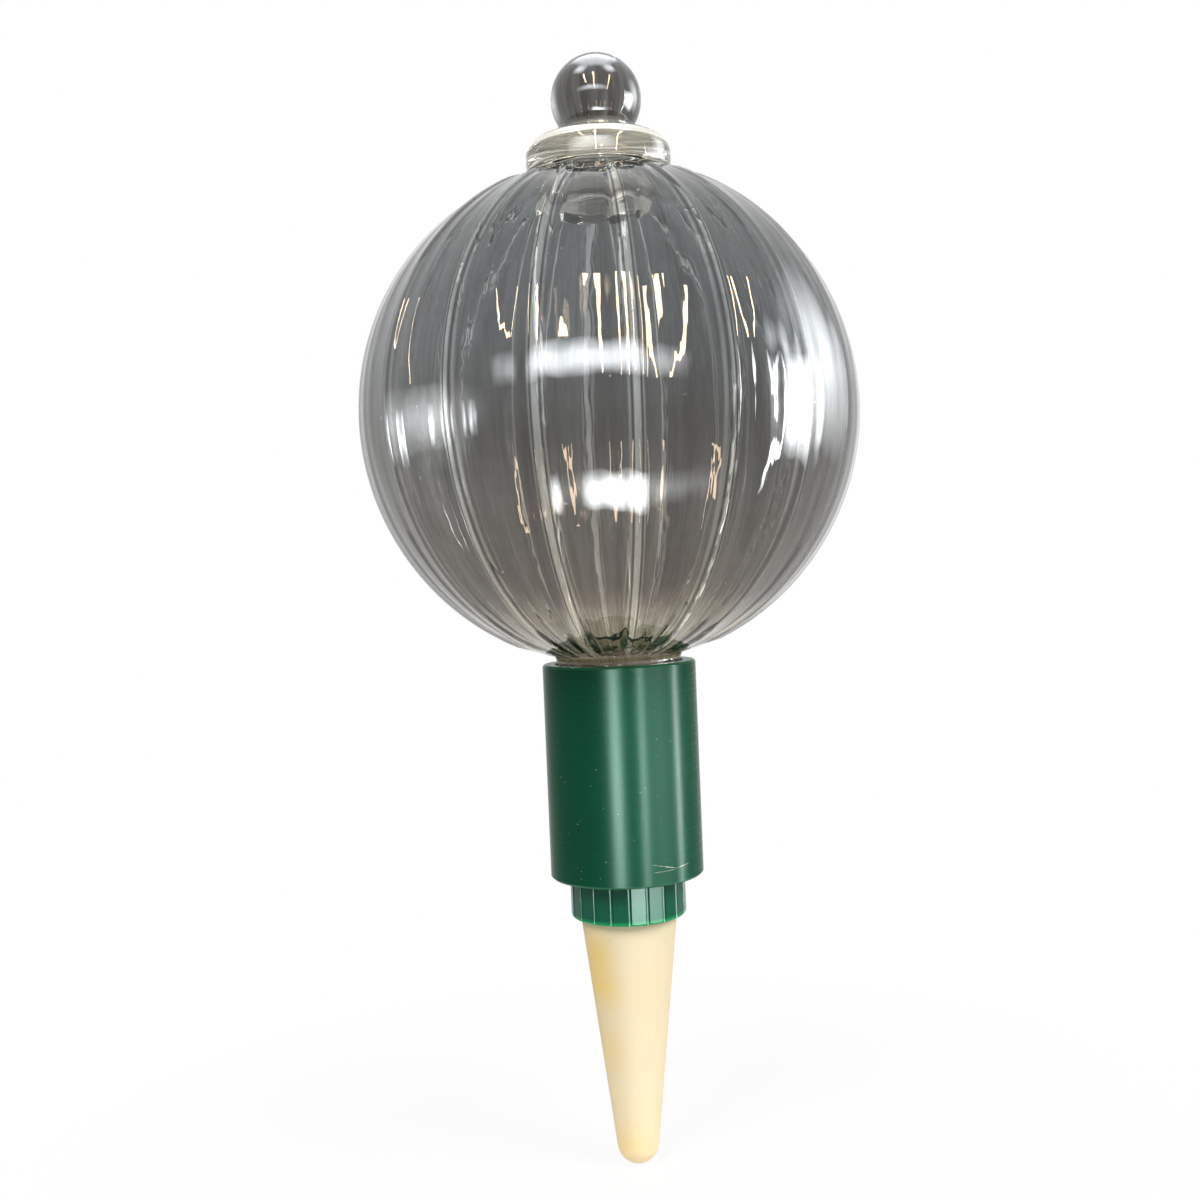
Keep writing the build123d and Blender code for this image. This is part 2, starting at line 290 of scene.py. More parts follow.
GLOBE_WINDOWS = {               # in the gloss of the globe; slats at the left, glints on single ribs
    "window_front": (-8, 20, 1.6, 2.8, 0.48, 22, 0.4, 0),
    "window_left": (-88, 2, 1.3, 1.7, 0.5, 7, 0.45, 0),
    "window_upper_right": (86, 19, 1.3, 0.3, 0.45, 11, 0.45, 20),
    "slat_0": (-62, -1, 1.3, 0.09, 0.34, 20, 0.45, 0),
    "slat_1": (-73, -1, 1.3, 0.09, 0.34, 20, 0.45, 0),
    "slat_2": (-86, -1, 1.3, 0.09, 0.34, 20, 0.45, 0),
    "slat_3": (-109, -1, 1.3, 0.09, 0.34, 20, 0.45, 0),
    "glint_0": (63, 7, 1.4, 0.04, 0.85, 40, 0.4, -4),
    "glint_1": (69, -41, 1.4, 0.03, 0.5, 40, 0.4, 27),
    "glint_2": (-100, -31, 1.4, 0.01, 0.45, 40, 0.4, -37),
}
GLOBE_STRIPS = {                # warm, in the gloss of the globe
    "strip_glow": (11, 48, 1.4, 0.2, 0.4, 18, 0.45, 0),
    "strip_0": (-104, 24, 1.4, 0.012, 0.73, 40, 0, 45),
    "strip_1": (-50, 39, 1.4, 0.018, 0.54, 40, 0, 32),
    "strip_2": (8, 35, 1.4, 0.03, 1.1, 40, 0, -3),
    "strip_3": (25, 33, 1.4, 0.03, 1.1, 40, 0, -14),
    "strip_4": (77, 34, 1.4, 0.03, 0.61, 40, 0, -42),
}
STOPPER_WINDOWS = {             # in the gloss of the stopper
    "crown_left": (-61, 60, 0.6, 0.3, 0.25, 14, 0.4, 0),
    "crown_right": (61, 60, 0.6, 0.3, 0.25, 14, 0.4, 0),
    "skylight": (180, 80, 0.6, 0.6, 0.7, 6, 0.2, 0),
    "flange_front": (-8, 16, 0.6, 1.0, 0.16, 13, 0.4, 0),
}
SLEEVE_GLOWS = {                # in the gloss of the sleeve
    "front_glow": (-9.9, 0, 0.14, 0.05, 0.16, 145, 0.45, 0),
    "right_glow": (27.4, 0, 0.14, 0.032, 0.16, 120, 0.45, 0),
    "side_glow": (84, 0, 0.14, 0.03, 0.16, 120, 0.45, 0),
    "haze": (52, 0, 0.14, 0.13, 0.18, 24, 0.45, 0),
}
COLLAR_GLOWS = {                # in the gloss of the head
    "collar_glow": (30, 0, 0.07, 0.1, 0.04, 62, 0.45, 0),
}


def place_camera():
    """A camera at the photograph's viewing angle, distance and tilt."""
    data = bpy.data.cameras.new("photo_camera")
    data.sensor_width = SENSOR
    data.lens = SENSOR * FOCAL_PIXELS / PHOTO_SIDE
    data.clip_start = CLIP_START
    camera = bpy.data.objects.new("photo_camera", data)
    bpy.context.scene.collection.objects.link(camera)
    turn = Matrix.Rotation(math.radians(90 - CAMERA_PITCH), 4, "X")
    roll = Matrix.Rotation(math.radians(CAMERA_ROLL), 4, "Z")
    camera.matrix_world = Matrix.Translation(CAMERA_PLACE) @ turn @ roll
    bpy.context.scene.camera = camera


def arc(centre, radius, start, end, steps):
    """Points of (radius, height) along an arc, from one angle to another, both ends included."""
    points = []
    for k in range(steps + 1):
        angle = math.radians(start + (end - start) * k / steps)
        points.append((centre[0] + radius * math.cos(angle), centre[1] + radius * math.sin(angle)))
    return points


def lathe(name, outline, sectors):
    """A vertex drawn out along an outline of (radius, height) points, then spun sector by sector."""
    bpy.ops.object.select_all(action="DESELECT")
    r, z = outline[0]
    bpy.ops.mesh.primitive_plane_add(size=SEED_SIZE, location=(r, 0, z))
    piece = bpy.context.active_object
    piece.name = piece.data.name = name
    bpy.ops.object.transform_apply(location=True, rotation=True, scale=True)
    bpy.ops.object.mode_set(mode="EDIT")
    bpy.ops.mesh.select_all(action="SELECT")
    bpy.ops.mesh.merge(type="CENTER")
    for next_r, next_z in outline[1:]:
        step = (next_r - r, 0, next_z - z)
        bpy.ops.mesh.extrude_vertices_move(TRANSFORM_OT_translate={"value": step})
        r, z = next_r, next_z
    bpy.ops.mesh.select_all(action="SELECT")
    for steps, degrees in sectors:
        angle = math.radians(degrees)
        bpy.ops.mesh.spin(steps=steps, angle=angle, center=(0, 0, 0), axis=(0, 0, 1), use_auto_merge=False)
    bpy.ops.mesh.select_all(action="SELECT")
    bpy.ops.mesh.remove_doubles(threshold=WELD)
    bpy.ops.mesh.normals_make_consistent(inside=False)
    bpy.ops.object.mode_set(mode="OBJECT")
    bpy.ops.object.shade_smooth_by_angle(angle=math.radians(SMOOTH_ANGLE))
    return piece


def apply_modifier(piece, kind, settings):
    """Add a modifier with these settings and apply it."""
    bpy.ops.object.select_all(action="DESELECT")
    piece.select_set(True)
    bpy.context.view_layer.objects.active = piece
    modifier = piece.modifiers.new(kind.lower(), kind)
    for name, value in settings.items():
        setattr(modifier, name, value)
    bpy.ops.object.modifier_apply(modifier=modifier.name)


def globe_outline(globe_z, flare_z):
    """Closed section of the blown wall: up the neck and globe outside, over the lip, down inside."""
    slope = math.degrees(math.atan2(flare_z - globe_z, NECK_RADIUS + NECK_ROUNDING))
    inner_radius = GLOBE_RADIUS - GLASS_WALL
    bore = NECK_RADIUS - GLASS_WALL
    end_rounding = GLASS_WALL / 2
    centre = (0, globe_z)
    flare_centre = (NECK_RADIUS + NECK_ROUNDING, flare_z)
    end_centre = (NECK_RADIUS - end_rounding, neck_end + end_rounding)
    lip_angle = math.degrees(math.acos(LIP_RADIUS / GLOBE_RADIUS))
    mouth_angle = math.degrees(math.acos(MOUTH_RADIUS / inner_radius))
    lip_z = seat - LIP_ROUNDING
    outline = arc(end_centre, end_rounding, 180, 360, ROUND_STEPS)
    outline.append((NECK_RADIUS, sleeve_top - NECK_CLEAR))
    outline += arc(flare_centre, NECK_ROUNDING, 180, 180 + slope, ROUND_STEPS)
    outline += arc(centre, GLOBE_RADIUS, slope, lip_angle, OUTSIDE_STEPS)[1:]
    outline += arc((LIP_RADIUS - LIP_ROUNDING, lip_z), LIP_ROUNDING, 0, 90, LIP_STEPS)
    outline += arc((MOUTH_RADIUS + LIP_ROUNDING, lip_z), LIP_ROUNDING, 90, 180, LIP_STEPS)
    outline += arc(centre, inner_radius, mouth_angle, slope, INSIDE_STEPS)
    outline += arc(flare_centre, NECK_ROUNDING + GLASS_WALL, 180 + slope, 180, ROUND_STEPS)[1:]
    outline.append((bore, sleeve_top - NECK_CLEAR))
    outline.append((bore, neck_end + end_rounding))
    return outline


def from_rib(place, globe_z):
    """How far a point of the globe lies from the nearest rib: 0 on its crest, 1 at its foot."""
    out = math.hypot(place.x, place.y)
    height = place.z - globe_z
    if math.hypot(out, height) < OUTER_FACE:
        return PAST_RIB
    end_radius = LIP_RADIUS if height > 0 else NECK_RADIUS + NECK_ROUNDING
    end = (out - end_radius - RIB_END_GAP) / RIB_END_TAPER
    bearing = math.degrees(math.atan2(place.x, -place.y))
    even_bearing = bearing + RIB_SQUEEZE * math.sin(math.radians(bearing))
    spacing = 360 / RIB_COUNT
    turn = (even_bearing - 90 - RIB_PHASE + spacing / 2) % spacing - spacing / 2
    width = RIB_WIDTH * (RIB_LEAST + (1 - RIB_LEAST) * out / GLOBE_RADIUS)
    across = abs(math.radians(turn)) * out / (width / 2)
    return min(across + 1 - min(max(end, 0), 1), PAST_RIB)


def make_globe(glass, ground_glass):
    """Blown globe with its ground neck and its lip, and ribs raised along the meridians."""
    globe_z = seat - LIP_STEP - math.sqrt(GLOBE_RADIUS**2 - LIP_RADIUS**2)
    flare_z = sleeve_top + NECK_SHOW
    spacing = 360 / RIB_COUNT
    before = RIB_PHASE - RIB_ZONE / 2
    after = spacing - RIB_PHASE - RIB_ZONE / 2
    sectors = [(STEPS_BEFORE_RIB, before), (STEPS_ON_RIB, RIB_ZONE), (STEPS_AFTER_RIB, after)]
    globe = lathe("globe_glass", globe_outline(globe_z, flare_z), sectors * RIB_COUNT)
    ribs = globe.vertex_groups.new(name="ribs")
    centre = Vector((0, 0, globe_z))
    marks = {"from_rib": [], "outside": []}
    for vertex in globe.data.vertices:
        across = from_rib(vertex.co, globe_z)
        if across < 1:
            ribs.add([vertex.index], (1 + math.cos(math.pi * across)) / 2, "REPLACE")
        outside = vertex.co.z > flare_z and (vertex.co - centre).length > OUTER_FACE
        marks["from_rib"].append(across)
        marks["outside"].append(float(outside))
    raised = {"vertex_group": "ribs", "direction": "NORMAL", "mid_level": 0, "strength": RIB_HEIGHT}
    apply_modifier(globe, "DISPLACE", raised)
    for name, values in marks.items():
        globe.data.attributes.new(name, "FLOAT", "POINT").data.foreach_set("value", values)
    globe.data.materials.append(glass)
    globe.data.materials.append(ground_glass)
    for face in globe.data.polygons:
        above = face.center.z - sleeve_top
        inner = face.normal.z > 0 and above < GROUND_FLARE
        face.material_index = int(inner or above < -NECK_CLEAR)
    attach(globe, "globe")
    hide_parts("glass_globe")
    return globe


def stopper_outline():
    """Half section of the stopper: dished plug, thick flange with a round shoulder, ball on a waist."""
    plug_z = seat - PLUG_DEPTH
    corner = (PLUG_RADIUS - PLUG_ROUNDING, plug_z + PLUG_ROUNDING)
    under_z = seat + SEAT_GAP
    flange_radius = stopper_high.x
    rim = (flange_radius - FLANGE_ROUNDING, under_z + FLANGE_ROUNDING)
    rim_z = seat + FLANGE_RIM
    inner_radius = flange_radius - SHOULDER_WIDTH
    foot_z = rim_z + SHOULDER_RISE + FLANGE_CROWN
    middle_z = foot_z + BALL_RADIUS - BALL_SINK
    reach = BALL_RADIUS + BALL_FILLET
    waist_z = foot_z + BALL_FILLET
    waist_radius = math.sqrt(reach**2 - (middle_z - waist_z) ** 2)
    waist_angle = math.degrees(math.atan2(waist_z - middle_z, waist_radius))
    dish_sphere = (DISH_RADIUS**2 + DISH_DEPTH**2) / (2 * DISH_DEPTH)
    dish_angle = math.degrees(math.asin(DISH_RADIUS / dish_sphere))
    dish_centre = (0, plug_z + DISH_DEPTH - dish_sphere)
    outline = arc(dish_centre, dish_sphere, 90, 90 - dish_angle, DISH_STEPS)
    outline += arc(corner, PLUG_ROUNDING, -90, 0, ROUND_STEPS)
    outline.append((PLUG_RADIUS, under_z))
    outline += arc(rim, FLANGE_ROUNDING, -90, 0, ROUND_STEPS)
    for x, y in arc((0, 0), 1, 0, 90, SHOULDER_STEPS):
        outline.append((inner_radius + SHOULDER_WIDTH * x, rim_z + SHOULDER_RISE * y))
    outline += arc((waist_radius, waist_z), BALL_FILLET, -90, -180 + waist_angle, ROUND_STEPS)
    outline += arc((0, middle_z), BALL_RADIUS, waist_angle, 90, BALL_STEPS)[1:]
    return outline


def make_stopper(glass):
    """Solid glass stopper, spun from its half section."""
    stopper = lathe("stopper_glass", stopper_outline(), [(STOPPER_SIDES, 360)])
    stopper.data.materials.append(glass)
    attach(stopper, "stopper")
    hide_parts("glass_stopper")
    return stopper


class Tree:
    """Shader nodes in the making. Its methods add nodes, and set or join their sockets."""

    def __init__(self, tree):
        self.tree = tree
        self.tree.nodes.clear()

    def node(self, kind, inputs=None, **settings):
        made = self.tree.nodes.new("ShaderNode" + kind)
        for name, value in settings.items():
            setattr(made, name, value)
        for name, value in (inputs or {}).items():
            self.feed(made.inputs[name], value)
        return made

    def feed(self, socket, value):
        if isinstance(value, bpy.types.NodeSocket):
            self.tree.links.new(value, socket)
        else:
            socket.default_value = value

    def reckon(self, operation, first, second=0.0):
        return self.node("Math", {0: first, 1: second}, operation=operation).outputs[0]

    def times(self, first, second):
        return self.reckon("MULTIPLY", first, second)

    def spread(self, value, low, high, to_low=0.0, to_high=1.0):
        """The value from low to high, spread over another range and clamped to it."""
        inputs = {"Value": value, "From Min": low, "From Max": high, "To Min": to_low, "To Max": to_high}
        return self.node("MapRange", inputs).outputs["Result"]


class Finish(Tree):
    """A material of one principled shader, with patterns that follow the piece's own coordinates."""

    def __init__(self, name):
        self.material = bpy.data.materials.new(name)
        self.material.use_nodes = True
        super().__init__(self.material.node_tree)
        self.shader = self.node("BsdfPrincipled")
        self.output = self.node("OutputMaterial", {"Surface": self.shader.outputs["BSDF"]})
        self.place = self.node("TexCoord").outputs["Object"]
        self.x, self.y, self.z = self.node("SeparateXYZ", {"Vector": self.place}).outputs

    def set(self, **values):
        """Set or join the shader's sockets; Base_Color stands for Base Color."""
        for name, value in values.items():
            self.feed(self.shader.inputs[name.replace("_", " ")], value)

    def stretched(self, scale):
        return self.node("Mapping", {"Vector": self.place, "Scale": scale}).outputs["Vector"]

    def noise(self, scale, detail, vector=None):
        inputs = {"Vector": vector or self.place, "Scale": scale, "Detail": detail}
        return self.node("TexNoise", inputs).outputs[0]

    def line_noise(self, value, scale, detail):
        """Noise along one value alone, as the lines that a lathe leaves."""
        inputs = {"W": value, "Scale": scale, "Detail": detail}
        return self.node("TexNoise", inputs, noise_dimensions="1D").outputs[0]

    def specks(self, scale, edge, full):
        """Scattered round specks, from 0 at their edge to 1 in the middle."""
        inputs = {"Vector": self.place, "Scale": scale}
        distance = self.node("TexVoronoi", inputs, feature="F1").outputs["Distance"]
        return self.spread(distance, edge, full)

    def blend(self, factor, first, second):
        made = self.node("Mix", {0: factor}, data_type="RGBA")
        self.feed(made.inputs[6], first)
        self.feed(made.inputs[7], second)
        return made.outputs[2]

    def near(self, centre, radius):
        """1 at a point of the piece, falling to 0 at this distance from it."""
        inputs = {0: self.place, 1: centre}
        reach = self.node("VectorMath", inputs, operation="DISTANCE").outputs["Value"]
        return self.spread(reach, 0, radius, to_low=1, to_high=0)

    def along_meridians(self, rise):
        """Coordinates for long streaks: they change round the axis, and with height as rise says."""
        bearing = self.node("CombineXYZ", {"X": self.x, "Y": self.y}).outputs["Vector"]
        bearing = self.node("VectorMath", {0: bearing}, operation="NORMALIZE").outputs["Vector"]
        height = self.node("CombineXYZ", {"Z": self.times(self.z, rise)}).outputs["Vector"]
        return self.node("VectorMath", {0: bearing, 1: height}, operation="ADD").outputs["Vector"]

    def line_round(self, points, width):
        """1 on a fine line round the axis through points of (bearing, height), 0 elsewhere."""
        bearing = self.reckon("ARCTAN2", self.x, self.times(self.y, -1.0))
        bearing = self.times(bearing, math.degrees(1))
        height = points[0][1]
        for (start, low), (end, high) in zip(points, points[1:]):
            height = self.reckon("ADD", self.spread(bearing, start, end, 0, high - low), height)
        gap = self.reckon("ABSOLUTE", self.reckon("SUBTRACT", self.z, height))
        first = points[0][0]
        last = points[-1][0]
        ends = self.times(self.spread(bearing, first, first + 1), self.spread(bearing, last, last - 4))
        return self.times(self.spread(gap, width, width / 2), ends)

    def layers(self, *parts):
        """Patterns added up, each with its share."""
        total = 0.0
        for value, share in parts:
            total = self.reckon("ADD", total, self.times(value, share))
        return total

    def bump(self, height, distance, strength):
        inputs = {"Height": height, "Distance": distance, "Strength": strength}
        return self.node("Bump", inputs).outputs["Normal"]


def globe_glass():
    """Blown glass with painted light along the ribs and painted shade between them, and the faint waves of
    a blown wall.
    """
    glass = Finish("globe_glass")
    across = glass.node("Attribute", attribute_name="from_rib").outputs["Fac"]
    outside = glass.node("Attribute", attribute_name="outside").outputs["Fac"]
    along = glass.along_meridians(1.6)
    wave = glass.layers(
        (glass.noise(11, 0, along), 1),
        (glass.noise(90, 2), 0.4),
        (glass.noise(50, 1, along), 0.025),
    )
    streaks = glass.layers(
        (glass.noise(8, 1, along), 0.5),
        (glass.noise(28, 2, along), 0.3),
        (glass.noise(90, 2, along), 0.35),
    )
    upward = glass.spread(glass.z, TINT_LOW_Z, TINT_HIGH_Z)
    # Painted shade: grey smoke with paler and darker streaks, standing for a dark room seen through clear
    # glass
    pale_painted_shade = glass.blend(upward, PAINTED_SHADE_PALE_LOW, PAINTED_SHADE_PALE_HIGH)
    deep_painted_shade = glass.blend(upward, PAINTED_SHADE_DEEP_LOW, PAINTED_SHADE_DEEP_HIGH)
    painted_shading = glass.blend(glass.spread(streaks, 0.45, 0.70), deep_painted_shade, pale_painted_shade)
    # Painted light and shade near the base: pale and dark lines along the meridians
    at_base = glass.spread(glass.z, sleeve_top + BASE_FADE[0], sleeve_top + BASE_FADE[1])
    base_light_and_shade = glass.spread(glass.noise(44, 2, along), 0.42, 0.64)
    painted_shading = glass.blend(at_base, painted_shading, glass.blend(base_light_and_shade, BASE_SHADE, BASE_LIGHT))
    from_waist = glass.reckon("ABSOLUTE", glass.reckon("SUBTRACT", glass.z, WAIST_SHADE_Z))
    at_waist = glass.times(glass.spread(from_waist, *WAIST_FADE), WAIST_SHARE)
    painted_shading = glass.blend(at_waist, painted_shading, WAIST_SHADE)
    # Painted light on the crest and foot of each rib, painted shade on its flanks
    rib_light = glass.blend(upward, RIB_LIGHT_LOW, RIB_LIGHT_HIGH)
    foot = glass.times(glass.spread(across, 0.66, 0.76), glass.spread(across, 1.0, 0.85))
    flank_shade = glass.times(glass.spread(across, 0.36, 0.50), glass.spread(across, 0.72, 0.6))
    crest = glass.spread(across, 0.52, 0.36)
    colour = glass.blend(glass.times(foot, FOOT_LIGHT_SHARE), painted_shading, rib_light)
    colour = glass.blend(glass.times(flank_shade, FLANK_SHADE_SHARE), colour, RIB_FLANK_SHADE)
    colour = glass.blend(crest, colour, rib_light)
    rare = glass.spread(glass.noise(120, 1), 0.58, 0.62)
    bubble = glass.times(glass.specks(260, 0.07, 0.04), rare)
    colour = glass.blend(glass.times(bubble, BUBBLE_SHARE), colour, BUBBLE)
    # Painted shade: darker where the neck goes into the sleeve
    at_neck_shade = glass.spread(glass.z, sleeve_top + NECK_SHADE_FADE, sleeve_top)
    inside = glass.blend(at_neck_shade, INNER_FACE, INNER_NECK_SHADE)
    glass.set(
        Base_Color=glass.blend(outside, inside, colour),
        Roughness=0.0,
        IOR=GLASS_IOR,
        Transmission_Weight=1.0,
        Normal=glass.bump(wave, WAVE_HEIGHT, WAVE_STRENGTH),
    )
    return glass.material


def ground_glass():
    """Fine-ground glass of the neck, pale and cloudy, with faint rings."""
    ground = Finish("ground_glass")
    rings = ground.line_noise(ground.z, 2600, 2)
    grain = ground.noise(1800, 2)
    ground.set(
        Base_Color=ground.blend(rings, GROUND_DARK, GROUND_PALE),
        Roughness=ground.spread(grain, 0.3, 0.7, to_low=0.45, to_high=0.6),
        IOR=GLASS_IOR,
        Transmission_Weight=GROUND_TRANSMISSION,
        Normal=ground.bump(grain, GROUND_GRAIN, 0.5),
    )
    return ground.material


def stopper_glass():
    """Pressed glass: painted shade in the plug and the ball, a painted glint on the plug's rim, painted
    light streaks and a painted highlight on the ball's crown; bright and straw-coloured in the flange.
    """
    glass = Finish("stopper_glass")
    shoulder_z = seat + FLANGE_RIM + SHOULDER_RISE
    plug_z = seat - PLUG_DEPTH
    rise = [ball_z + share * BALL_RADIUS for share in BALL_RISE]
    crown_highlight_rise = [ball_z + share * BALL_RADIUS for share in CROWN_HIGHLIGHT_RISE]
    # Painted light and shade in the ball: dark body, pale streaks and a pale crown
    streaks = glass.spread(glass.noise(5, 2, glass.along_meridians(8)), 0.42, 0.62)
    ball_shade = glass.blend(glass.spread(glass.z, *rise), BALL_SHADE_LOW, BALL_SHADE_HIGH)
    ball = glass.blend(streaks, ball_shade, BALL_LIGHT_STREAK)
    ball = glass.blend(glass.spread(glass.z, *crown_highlight_rise), ball, BALL_CROWN_HIGHLIGHT)
    in_flange = glass.spread(glass.z, seat - FLANGE_FADE[0], seat - FLANGE_FADE[1])
    in_ball = glass.spread(glass.z, shoulder_z, shoulder_z + BALL_FADE)
    # Painted shade in the plug and a painted glint along its lower rim
    at_rim_glint = glass.spread(glass.z, plug_z + PLUG_GLINT_FADE[0], plug_z + PLUG_GLINT_FADE[1])
    colour = glass.blend(at_rim_glint, PLUG_SHADE, PLUG_RIM_GLINT)
    colour = glass.blend(in_flange, colour, FLANGE_TINT)
    colour = glass.blend(in_ball, colour, ball)
    cloudy = glass.times(in_flange, glass.reckon("SUBTRACT", 1.0, in_ball))
    glass.set(
        Base_Color=colour,
        Roughness=0.0,
        IOR=GLASS_IOR,
        Transmission_Weight=glass.spread(cloudy, 0, 1, to_low=1, to_high=FLANGE_TRANSMISSION),
    )
    return glass.material


def sleeve_green():
    """Satin green plastic with fine turning lines, painted highlights on its rims, specks of dust and two
    hair scratches.
    """
    green = Finish("sleeve_green")
    lines = green.line_noise(green.z, 5200, 3)
    broad_lines = green.line_noise(green.z, 700, 2)
    clouds = green.noise(70, 3)
    # Painted highlight: paler green along both rims
    rim_edge, rim_full = RIM_HIGHLIGHT_FADE
    top_rim_highlight = green.spread(green.z, sleeve_top - rim_edge, sleeve_top - rim_full)
    low_rim_highlight = green.spread(green.z, sleeve_low.z + rim_edge, sleeve_low.z + rim_full)
    colour = green.blend(clouds, SLEEVE_DARK, SLEEVE_LIGHT)
    colour = green.blend(green.spread(lines, 0.45, 0.8, to_high=SLEEVE_LINE_SHARE), colour, SLEEVE_LINE)
    colour = green.blend(green.reckon("MAXIMUM", top_rim_highlight, low_rim_highlight), colour, SLEEVE_RIM_HIGHLIGHT)
    rare = green.spread(green.noise(260, 1), 0.50, 0.64)
    colour = green.blend(green.times(green.specks(640, 0.10, 0.05), rare), colour, DUST)
    for points, share in SCRATCHES:
        broken = green.spread(green.noise(900, 2), 0.38, 0.6, SCRATCH_FAINTEST, share)
        scratch = green.times(green.line_round(points, SCRATCH_WIDTH), broken)
        colour = green.blend(scratch, colour, SCRATCH)
    grain = green.layers((lines, 0.6), (broad_lines, 0.4))
    green.set(
        Base_Color=colour,
        Roughness=green.spread(lines, 0.3, 0.7, to_low=0.19, to_high=0.28),
        Specular_IOR_Level=SLEEVE_SPECULAR,
        Normal=green.bump(grain, SLEEVE_GRAIN, 0.5),
    )
    return green.material


def head_green():
    """Glossy moulded plastic, with a painted glow of light through its lower edge."""
    green = Finish("head_green")
    body = green.blend(green.noise(120, 3), HEAD_DARK, HEAD_LIGHT)
    # Painted glow: brighter green along the lower edge, for light coming through the plastic
    edge = green.spread(green.z, head_low.z + HEAD_GLOW_FADE[0], head_low.z + HEAD_GLOW_FADE[1])
    flow = green.noise(400, 2, green.stretched((1, 1, 0.1)))
    green.set(
        Base_Color=green.blend(edge, body, HEAD_EDGE_GLOW),
        Roughness=green.spread(green.noise(900, 2), 0.3, 0.7, to_low=0.2, to_high=0.28),
        Specular_IOR_Level=HEAD_SPECULAR,
        Normal=green.bump(flow, HEAD_GRAIN, 0.5),
    )
    return green.material


def bare_ceramic():
    """Unglazed buff ceramic: fine grain, small pores, soft yellow stains, and one side yellower and
    darker, partly as painted shade.
    """
    clay = Finish("bare_ceramic")
    clouds = clay.noise(60, 4)
    grain = clay.noise(2600, 3)
    pore = clay.specks(900, 0.16, 0.08)
    colour = clay.blend(clouds, CLAY_DARK, CLAY_PALE)
    patchy = clay.spread(clouds, 0.3, 0.6, to_low=0.25, to_high=0.5)
    # Yellower and darker towards -X: partly a yellow stain, partly painted shade on the side away from the
    # key lamp
    yellowed_and_shaded = clay.times(clay.spread(clay.x, *YELLOW_SHADE_FADE), patchy)
    colour = clay.blend(yellowed_and_shaded, colour, CLAY_YELLOW_SHADE)
    ragged = clay.spread(clouds, 0.3, 0.6, to_low=0.6, to_high=1.2)
    for centre, radius, share in STAINS:
        stained = clay.times(clay.near(centre, radius), ragged)
        colour = clay.blend(clay.times(stained, share), colour, STAIN)
    colour = clay.blend(clay.times(pore, PORE_SHARE), colour, CLAY_PORE)
    height = clay.reckon("SUBTRACT", grain, clay.times(pore, PORE_DEPTH))
    clay.set(
        Base_Color=colour,
        Roughness=clay.spread(grain, 0.3, 0.7, to_low=0.72, to_high=0.92),
        Specular_IOR_Level=CLAY_SPECULAR,
        Normal=clay.bump(height, CLAY_GRAIN, 0.5),
    )
    return clay.material


def seal_rubber():
    """Soft black rubber with a dull, faintly mottled skin."""
    rubber = Finish("seal_rubber")
    mottle = rubber.noise(800, 3)
    rubber.set(
        Base_Color=rubber.blend(mottle, RUBBER_DARK, RUBBER_PALE),
        Roughness=rubber.spread(mottle, 0.3, 0.7, to_low=0.5, to_high=0.72),
        Normal=rubber.bump(mottle, RUBBER_GRAIN, 0.4),
    )
    return rubber.material


def dress(node, material):
    """Give a CAD node its finish."""
    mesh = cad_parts[node].data
    mesh.materials.clear()
    mesh.materials.append(material)


def seen_white(tree):
    """1 on the rays that show the background: straight to the camera, in gloss and through glass."""
    path = tree.node("LightPath").outputs
    seen = tree.reckon("MAXIMUM", path["Is Camera Ray"], path["Is Glossy Ray"])
    return tree.reckon("MAXIMUM", seen, path["Is Transmission Ray"])


def white_floor():
    """Floor that is white to the camera and in glass, and still takes the object's shadow."""
    floor = Finish("white_floor")
    floor.set(Base_Color=FLOOR_GREY, Roughness=FLOOR_ROUGHNESS)
    white = floor.node("Emission", {"Color": WHITE, "Strength": 1.0}).outputs["Emission"]
    reach = floor.node("VectorMath", {0: floor.place}, operation="LENGTH").outputs["Value"]
    share = floor.times(seen_white(floor), floor.spread(reach, *FLOOR_FADE, to_low=FLOOR_WHITE_SHARE))
    mix = floor.node("MixShader", {0: share, 1: floor.shader.outputs["BSDF"], 2: white})
    floor.feed(floor.output.inputs["Surface"], mix.outputs["Shader"])
    return floor.material


def lay_floor():
    """Round white floor under the cone's tip."""
    bpy.ops.object.select_all(action="DESELECT")
    bpy.ops.mesh.primitive_circle_add(vertices=FLOOR_SIDES, radius=FLOOR_RADIUS, fill_type="NGON")
    floor = bpy.context.active_object
    floor.name = "floor"
    floor.location.z = cad_low.z
    floor.data.materials.append(white_floor())


def fill_room():
    """A room that is white to look at, and lights the object evenly with a part of that white."""
    room = bpy.data.worlds.new("white_room")
    bpy.context.scene.world = room
    room.use_nodes = True
    tree = Tree(room.node_tree)
    strength = tree.spread(seen_white(tree), 0, 1, to_low=ROOM_LIGHT, to_high=1)
    background = tree.node("Background", {"Color": WHITE, "Strength": strength})
    output = tree.node("OutputWorld", {"Surface": background.outputs["Background"]})
    output.is_active_output = True


def add_rectangle(name, width, height, radiance, colour, place):
    """A rectangular lamp at this place, hidden from the camera."""
    data = bpy.data.lights.new(name, "AREA")
    data.shape = "RECTANGLE"
    data.size = width
    data.size_y = height
    data.energy = radiance * math.pi * width * height
    data.color = colour
    lamp = bpy.data.objects.new(name, data)
    bpy.context.scene.collection.objects.link(lamp)
    lamp.matrix_world = place
    lamp.visible_camera = False
    return lamp


